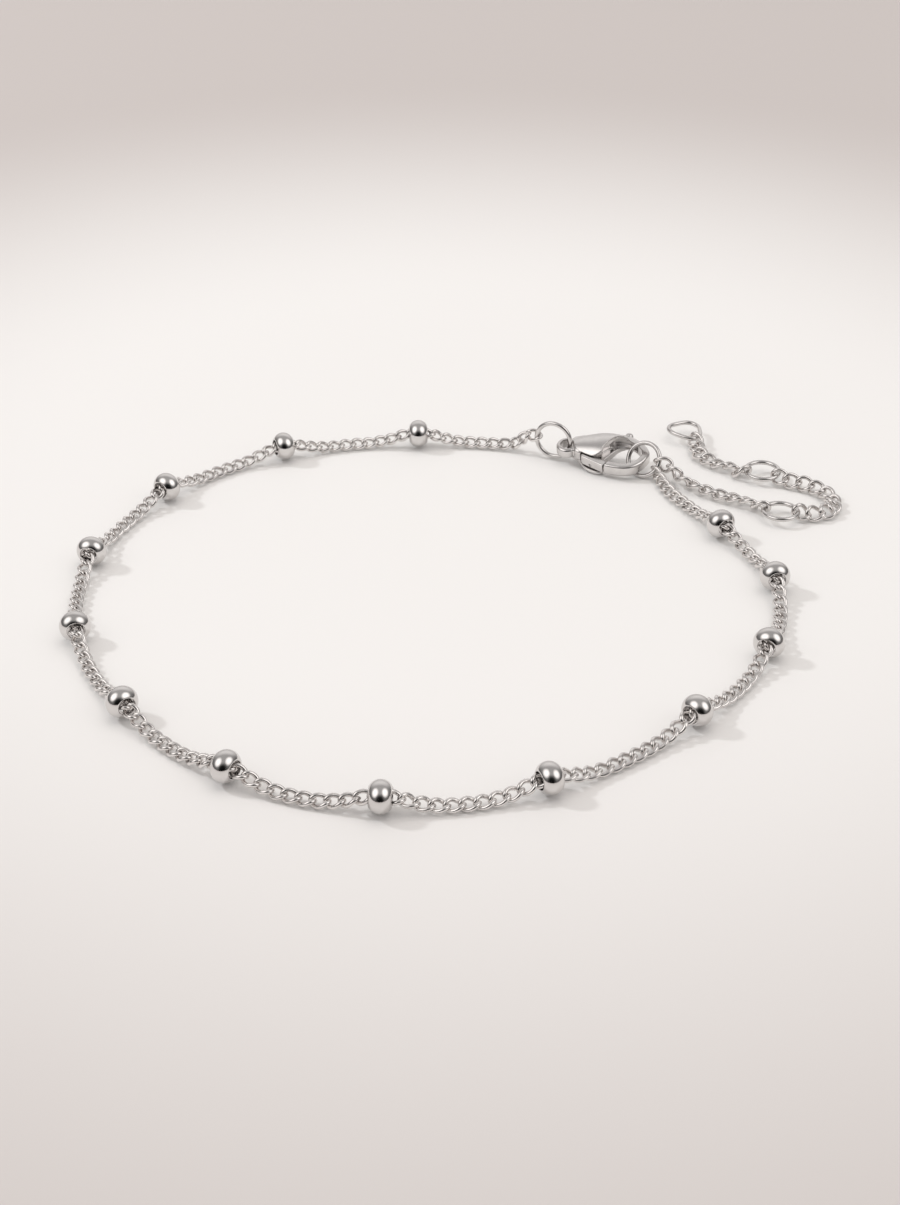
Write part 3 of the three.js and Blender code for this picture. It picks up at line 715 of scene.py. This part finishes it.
def chainMesh(name, values, points, tilts, count, length, material):
    curve = routeCurve(name + "_route", points, tilts)
    modifier = curve.modifiers.new("links", "NODES")
    modifier.node_group = curbLinks
    settings = {
        "Link Count": count, "Link Length": length, "Link Width": values["width"],
        "Wire Diameter": values["wire"], "Twist": math.radians(values["twist"]),
        "Loose Roll": math.radians(values["loose"]), "Seed": values["seed"], "Finish": material,
    }
    for label, value in settings.items():
        modifier[socketId(curbLinks, label)] = value
    bpy.context.view_layer.update()
    depsgraph = bpy.context.evaluated_depsgraph_get()
    mesh = bpy.data.meshes.new_from_object(curve.evaluated_get(depsgraph), depsgraph=depsgraph)
    mesh.name = name
    curve.modifiers.remove(modifier)
    bpy.data.objects.remove(curve)
    outwards(mesh)
    return mesh


def squareRoll(direction, along, wanted):
    side = Vector((0, 0, 1)).cross(direction).normalized()
    up = direction.cross(side)
    roll = math.degrees(math.atan2(-along.dot(side), along.dot(up)))
    return roll + 180 * round((wanted - roll) / 180)


def leavingDirection(seat, target):
    direction = target - seat["point"]
    direction -= seat["along"] * direction.dot(seat["along"])
    return direction.normalized()


def linkTip(seat, direction, wire):
    return seat["point"] - direction * (seat["wire"] / 2 + threadClearance + wire)


def resampled(points, step):
    lengths = stops(points)
    count = max(2, round(lengths[-1] / step))
    out = []
    j = 0
    for i in range(count + 1):
        want = lengths[-1] * i / count
        while j < len(lengths) - 2 and lengths[j + 1] < want:
            j += 1
        share = (want - lengths[j]) / max(lengths[j + 1] - lengths[j], 1e-12)
        out.append(points[j].lerp(points[j + 1], min(max(share, 0), 1)))
    return out


def restHeight(values, roll):
    half = values["width"] / 2 - values["wire"] / 2
    length = values["pitch"] + 2 * values["wire"]
    stretch = (length - values["wire"]) / (values["width"] - values["wire"])
    lowest = 0
    for i in range(linkDetail["ovalSteps"] * 2):
        angle = math.pi * i / linkDetail["ovalSteps"]
        x = half * math.cos(angle) * stretch
        turned = math.radians(values["twist"]) * 2 * x / length + roll
        lowest = min(lowest, half * math.sin(angle) * math.sin(turned))
    return values["wire"] / 2 - lowest


def layChain(name, values, curve, startSeat, endSeat, node):
    wire, pitch = values["wire"], values["pitch"]
    fine = resampled(curve, routeGrain)   # from the outer end of the first link to that of the last
    span = stops(fine)[-1]
    count = round((span - 2 * wire) / pitch)
    length = (span - 2 * wire) / count + 2 * wire
    inset = length / 2
    lengths = stops(fine)
    inner = [p for p, stop in zip(fine, lengths) if inset <= stop <= span - inset]
    startWay = (inner[1] - inner[0]).normalized()
    endWay = (inner[-1] - inner[-2]).normalized()
    startRoll = squareRoll(startWay, startSeat["along"], -values["twist"]) + values["twist"]
    endRoll = squareRoll(endWay, endSeat["along"], values["twist"]) - values["twist"]
    innerStops = stops(inner)
    reach = endRollLinks * pitch
    tilts = []
    heights = []
    for i, stop in enumerate(innerStops):
        fromStart = max(0, 1 - stop / reach)
        fromEnd = max(0, 1 - (innerStops[-1] - stop) / reach)
        ahead = (inner[min(i + 1, len(inner) - 1)] - inner[max(i - 1, 0)]).normalized()
        lean = values["lean"] * ahead.x * (1 - max(fromStart, fromEnd))
        tilts.append(math.radians(startRoll * fromStart + endRoll * fromEnd + lean))
        heights.append(restHeight(values, tilts[-1]) + restMargin)
    near = round(pitch / 2 / routeGrain)
    floors = [max(heights[max(0, i - near):i + near + 1]) for i in range(len(inner))]
    inner = [Vector((p.x, p.y, max(p.z, floors[i]))) for i, p in enumerate(inner)]
    mesh = chainMesh(name, values, inner, tilts, count, length, chainSilver)
    addPiece(name, mesh, chainSilver, "chain", "anklet", node)
    print(name, "links", count, "length", round(length / mm, 3), "rolls", round(startRoll), round(endRoll))


# Main chain

sagging = {"beadLead": 0.2 * mm, "length": 5.0 * mm}


def heightAt(stop, supports, rest):
    height = rest
    for place, top, half in supports:
        away = max(0, abs(stop - place) - half)
        drop = max(0, 1 - away / sagging["length"])
        height = max(height, rest + (top - rest) * drop * drop)
    return height


rest, lead, wire = mainLay["rest"], mainLay["lead"], mainLinks["wire"]
beadHalf = beadSizes["length"] / 2 + sagging["beadLead"]
supports = [(0, startSeat["point"].z, 0)]
supports += [(stop, beadSizes["diameter"] / 2 + shift.z, beadHalf) for stop in beadStops]
supports += [(planStops[-1], endSeat["point"].z, 0)]
raised = [Vector((p.x, p.y, heightAt(stop, supports, rest))) for p, stop in zip(plan, planStops)]
startWay = leavingDirection(startSeat, raised[mainLay["planSteps"] // 2])
endWay = leavingDirection(endSeat, raised[-mainLay["planSteps"] // 2])
clear = lead * mainLay["clearShare"]
middle = [p for p, stop in zip(raised, planStops) if clear < stop < planStops[-1] - clear]
route = [linkTip(startSeat, startWay, wire), startSeat["point"] + startWay * lead * mainLay["leadShare"]]
route += middle[::mainLay["keepEvery"]]
route += [endSeat["point"] + endWay * lead * mainLay["leadShare"], linkTip(endSeat, endWay, wire)]
layChain("curb_chain", mainLinks, spline(route, mainLay["routeSteps"]), startSeat, endSeat, "main_chain")

extenderStrands = {   # the route, then for each end the ring, the angle on it and the share of the lift
    "extender_chain_1": ("extender1", ("jump_ring_hook", 0, 0), ("extender_ring_1", 145, 1)),
    "extender_chain_2": ("extender2", ("extender_ring_1", -4, 1), ("extender_ring_2", -40, 1)),
    "extender_chain_3": ("extender3", ("extender_ring_2", 175, 1), ("extender_end_ring", -130, 0)),
}
extenderRest = restHeight(extenderLinks, 0)
ringWire = ringSizes["extender_ring_1"]["wire"]
seatLift = extenderLinks["width"] / 2 - extenderLinks["wire"] - ringWire / 2 - 2 * threadClearance
for node, (routeName, first, last) in extenderStrands.items():
    firstSeat = ringSeat(first[0], first[1], first[2] * seatLift)
    lastSeat = ringSeat(last[0], last[1], last[2] * seatLift)
    low = [Vector((x, y, extenderRest)) + Vector((shift.x, shift.y, 0)) for kind, x, y in chainRoutes[routeName]]
    firstWay = leavingDirection(firstSeat, low[0])
    lastWay = leavingDirection(lastSeat, low[-1])
    wire = extenderLinks["wire"]
    half = extenderLinks["width"] / 2
    route = [linkTip(firstSeat, firstWay, wire), firstSeat["point"] + firstWay * half, *low,
             lastSeat["point"] + lastWay * half, linkTip(lastSeat, lastWay, wire)]
    layChain(node + "_links", extenderLinks, spline(route), firstSeat, lastSeat, node)


# Clasp, modelled in millimetres in its own frame: u from the eye to the hook's end, v to the far side, w up

claspSizes = {
    **claspSpan,
    "hookHeight": 1.35, "hookFillet": 0.28, "lipHeight": 0.34, "lipFillet": 0.1,
    "coverFillet": 0.12, "nearHalf": 0.68,   # the cover's near side, as a share of the half width
    "domeSteps": 8, "domeSides": 72, "domeTip": 0.02,
    "eyeDiameter": 2.4, "eyeBore": 1.45, "eyeHeight": 1.2, "eyeFillet": 0.32, "eyeSides": 64,
    "pocketLow": -0.66, "pocketHigh": 0.82, "grooveHalf": 0.46, "pocketFillet": 0.1,
    "nubDiameter": 0.95, "nubPlace": (0.65, 0.97), "nubRise": 0.3,   # shares, then millimetres
    "voxel": 0.05, "smoothing": 6,
}
claspRows = {   # shares of the reach and of the half width
    "hook": [
        (0.04, 0.42), (0.15, 0.64), (0.29, 0.84), (0.44, 0.94), (0.58, 0.97), (0.69, 0.91), (0.81, 0.71),
        (0.9, 0.44), (0.95, 0.12), (0.93, -0.24), (0.875, -0.58), (0.79, -0.83), (0.68, -0.93), (0.56, -0.93),
        (0.45, -0.88), (0.33, -0.72), (0.22, -0.46), (0.1, -0.28),
    ],
    "mouth": [
        (0.45, -0.5), (0.52, -0.63), (0.62, -0.68), (0.71, -0.66), (0.79, -0.52), (0.845, -0.26), (0.865, 0.06),
        (0.82, 0.34), (0.73, 0.58), (0.64, 0.68), (0.565, 0.62), (0.515, 0.42), (0.47, 0.12), (0.43, -0.2),
    ],
    "cover": [
        (0.04, 0.36), (0.15, 0.62), (0.29, 0.83), (0.44, 0.93), (0.6, 0.95), (0.72, 0.87), (0.66, 0.5),
        (0.53, 0.0), (0.45, -0.28), (0.38, -0.47), (0.3, -0.52), (0.21, -0.42), (0.1, -0.14),
    ],
    "lip": [
        (0.06, 0.12), (0.3, 0.3), (0.43, -0.2), (0.47, -0.72), (0.43, -0.84), (0.36, -0.84), (0.28, -0.75),
        (0.2, -0.53), (0.12, -0.26), (0.06, -0.14),
    ],
    "pocket": [   # the hollow under the cover, which opens to the mouth
        (0.37, 0.05), (0.43, 0.42), (0.53, 0.66), (0.63, 0.72), (0.7, 0.6), (0.62, 0.2), (0.5, -0.2), (0.42, -0.2),
    ],
    "groove": [   # the hollow of the hook's far wall, which opens to the mouth too
        (0.45, 0.3), (0.5, 0.76), (0.6, 0.83), (0.7, 0.77), (0.77, 0.6), (0.79, 0.42), (0.7, 0.3), (0.58, 0.2),
    ],
    "dome": [   # shares of the reach, and the radius as a share of the half width
        (0.0, 0.0), (0.03, 0.4), (0.14, 0.66), (0.28, 0.87), (0.4, 0.98), (0.52, 1.0), (0.62, 0.93), (0.7, 0.7),
        (0.75, 0.0),
    ],
}
leverSizes = {
    "pivot": (0.28 * claspSpan["reach"], -0.5 * claspSpan["halfWidth"]),
    "thickness": 0.85, "height": 1.1, "reach": 2.2, "back": 0.85, "fillet": 0.14,
    "heading": -21, "opening": 25, "clearance": 0.14, "sweepSteps": 5,
    "markDiameter": 0.34, "markDepth": 0.2, "markPlace": (0.55, -0.26),   # the dimple in the outer wall
}


def closedLoop(rows, steps=10):
    size = claspSizes
    points = [Vector((u * size["reach"], v * size["halfWidth"], 0)) for u, v in rows]
    wrapped = points[-2:] + points + points[:3]
    curve = spline(wrapped, steps)
    return [Vector((p.x, p.y)) for p in curve[2 * steps:(2 + len(points)) * steps]]


def insetLoop(loop, amount):
    turning = sum(a.x * b.y - b.x * a.y for a, b in zip(loop, loop[1:] + loop[:1]))
    way = 1 if turning > 0 else -1
    moved = []
    for i, point in enumerate(loop):
        along = (loop[(i + 1) % len(loop)] - loop[i - 1]).normalized()
        moved.append(point + Vector((-along.y, along.x)) * way * amount)
    return moved


def roundedPrism(loop, low, high, fillet, steps=4):
    rows = []
    for k in range(steps + 1):
        angle = math.pi / 2 * k / steps
        inner = insetLoop(loop, fillet * (1 - math.sin(angle)))
        rows.append([(p.x, p.y, low + fillet * (1 - math.cos(angle))) for p in inner])
    rows += [[(x, y, low + high - z) for x, y, z in row] for row in reversed(rows)]
    return cappedMesh(rows)


def cappedMesh(rows):
    count = len(rows[0])
    faces = []
    for i in range(len(rows) - 1):
        for j in range(count):
            k = (j + 1) % count
            faces.append((i * count + j, i * count + k, (i + 1) * count + k, (i + 1) * count + j))
    faces.append(tuple(range(count)))
    faces.append(tuple(range((len(rows) - 1) * count, len(rows) * count)))
    mesh = bpy.data.meshes.new("blank")
    mesh.from_pydata([point for row in rows for point in row], [], faces)
    outwards(mesh)
    return mesh


def circleLoop(diameter, sides):
    turns = [2 * math.pi * i / sides for i in range(sides)]
    return [Vector((diameter / 2 * math.cos(t), diameter / 2 * math.sin(t))) for t in turns]


def domeMesh():
    size = claspSizes
    rows = [Vector((u * size["reach"], radius * size["halfWidth"], 0)) for u, radius in claspRows["dome"]]
    profile = [p for p in spline(rows, size["domeSteps"]) if p.y > size["domeTip"]]
    flatten = size["thickness"] / 2 / size["halfWidth"]
    turns = [2 * math.pi * i / size["domeSides"] for i in range(size["domeSides"])]
    sideways = [(1 - size["nearHalf"]) / 2 + (1 + size["nearHalf"]) / 2 * math.cos(t) for t in turns]
    return cappedMesh([[(p.x, p.y * c, p.y * math.sin(t) * flatten) for c, t in zip(sideways, turns)]
                       for p in profile])


def leverLoop(heading, grow=0.0, outward=0.0, steps=8):
    values = leverSizes
    half, reach, back = values["thickness"] / 2 + grow, values["reach"] + grow, values["back"] + grow
    tip = math.asin(half / reach)
    loop = []
    for i in range(steps + 1):
        angle = -tip + 2 * tip * i / steps
        loop.append((reach * math.cos(angle), reach * math.sin(angle)))
    for i in range(steps + 1):
        angle = math.pi / 2 + math.pi * i / steps
        loop.append((half - back + half * math.cos(angle), half * math.sin(angle)))
    if outward > 0:
        loop.append((half - back, -half - outward))
        loop.append((reach * math.cos(tip), -half - outward))
    c, s = math.cos(math.radians(heading)), math.sin(math.radians(heading))
    px, py = values["pivot"]
    return [Vector((px + x * c - y * s, py + x * s + y * c)) for x, y in loop]


def finished(name, mesh, modifiers):
    blank = bpy.data.objects.new(name, mesh)
    pieces.objects.link(blank)
    for kind, settings in modifiers:
        modifier = blank.modifiers.new(kind, kind)
        for label, value in settings.items():
            setattr(modifier, label, value)
    bpy.context.view_layer.update()
    depsgraph = bpy.context.evaluated_depsgraph_get()
    result = bpy.data.meshes.new_from_object(blank.evaluated_get(depsgraph), depsgraph=depsgraph)
    bpy.data.objects.remove(blank)
    return result


def shaped(mesh, tool, operation):
    cutter = bpy.data.objects.new("cutter", tool)
    pieces.objects.link(cutter)
    settings = {"operation": operation, "object": cutter, "solver": "EXACT"}
    result = finished("shaped", mesh, [("BOOLEAN", settings)])
    bpy.data.objects.remove(cutter)
    return result


def castMesh(name, mesh):
    steps = [
        ("REMESH", {"mode": "VOXEL", "voxel_size": claspSizes["voxel"]}),
        ("SMOOTH", {"factor": 0.5, "iterations": claspSizes["smoothing"]}),
    ]
    cast = finished(name, mesh, steps)
    cast.name = name
    eye = Vector(claspPlace["eye"]) + shift
    cast.transform(Matrix.Translation(eye) @ claspTurn.to_4x4() @ Matrix.Scale(mm, 4))
    cast.update()
    return cast


def toolMesh(name, work):
    mesh = bpy.data.meshes.new(name)
    work.to_mesh(mesh)
    work.free()
    return mesh


def claspBody():
    size, lever = claspSizes, leverSizes
    tall = size["thickness"]
    slot = lever["height"] + 2 * lever["clearance"]
    half = size["hookHeight"] / 2
    body = roundedPrism(closedLoop(claspRows["hook"]), -half, half, size["hookFillet"])
    cover = roundedPrism(closedLoop(claspRows["cover"]), -tall / 2, tall / 2, size["coverFillet"])
    body = shaped(body, shaped(domeMesh(), cover, "INTERSECT"), "UNION")
    lipTop = -slot / 2
    lip = roundedPrism(closedLoop(claspRows["lip"]), lipTop - size["lipHeight"], lipTop, size["lipFillet"])
    body = shaped(body, lip, "UNION")
    body = shaped(body, roundedPrism(closedLoop(claspRows["mouth"]), -tall, tall, 0.0, 1), "DIFFERENCE")
    for i in range(lever["sweepSteps"] + 1):
        heading = lever["heading"] + lever["opening"] * i / lever["sweepSteps"]
        loop = leverLoop(heading, lever["clearance"], lever["thickness"] if i == 0 else 0.0)
        body = shaped(body, roundedPrism(loop, -slot / 2, slot / 2, 0.0, 1), "DIFFERENCE")
    hollows = {
        "pocket": (size["pocketLow"], size["pocketHigh"]),
        "groove": (-size["grooveHalf"], size["grooveHalf"]),
    }
    for rows, (low, high) in hollows.items():
        hollow = roundedPrism(closedLoop(claspRows[rows]), low, high, size["pocketFillet"])
        body = shaped(body, hollow, "DIFFERENCE")
    eyeHalf = size["eyeHeight"] / 2
    eye = roundedPrism(circleLoop(size["eyeDiameter"], size["eyeSides"]), -eyeHalf, eyeHalf, size["eyeFillet"])
    body = shaped(body, eye, "UNION")
    bore = roundedPrism(circleLoop(size["eyeBore"], size["eyeSides"]), -tall, tall, 0.0, 1)
    body = shaped(body, bore, "DIFFERENCE")
    u, v = size["nubPlace"]
    spot = Matrix.Translation((u * size["reach"], v * size["halfWidth"], size["nubRise"]))
    ball = bmesh.new()
    bmesh.ops.create_uvsphere(ball, u_segments=32, v_segments=16, radius=size["nubDiameter"] / 2, matrix=spot)
    return shaped(body, toolMesh("nub", ball), "UNION")


def claspLever():
    values = leverSizes
    half, radius = values["height"] / 2, values["markDiameter"] / 2
    bar = roundedPrism(leverLoop(values["heading"]), -half, half, values["fillet"])
    along, level = values["markPlace"]
    heading = Matrix.Rotation(math.radians(values["heading"]), 4, "Z")
    spot = heading @ Vector((along, -values["thickness"] / 2, level)) + Vector((*values["pivot"], 0))
    aim = Matrix.Translation(spot) @ heading @ Matrix.Rotation(math.pi / 2, 4, "X")
    drill = bmesh.new()
    bmesh.ops.create_cone(drill, cap_ends=True, segments=24, radius1=radius, radius2=radius,
                          depth=2 * values["markDepth"], matrix=aim)
    return shaped(bar, toolMesh("drill", drill), "DIFFERENCE")


body = castMesh("clasp_body_cast", claspBody())
addPiece("clasp_body_cast", body, claspSilver, "clasp", "anklet", "clasp_body")
lever = castMesh("clasp_lever_cast", claspLever())
addPiece("clasp_lever_cast", lever, claspSilver, "clasp", "lever", "clasp_lever")
print("clasp faces", len(body.polygons), len(lever.polygons))
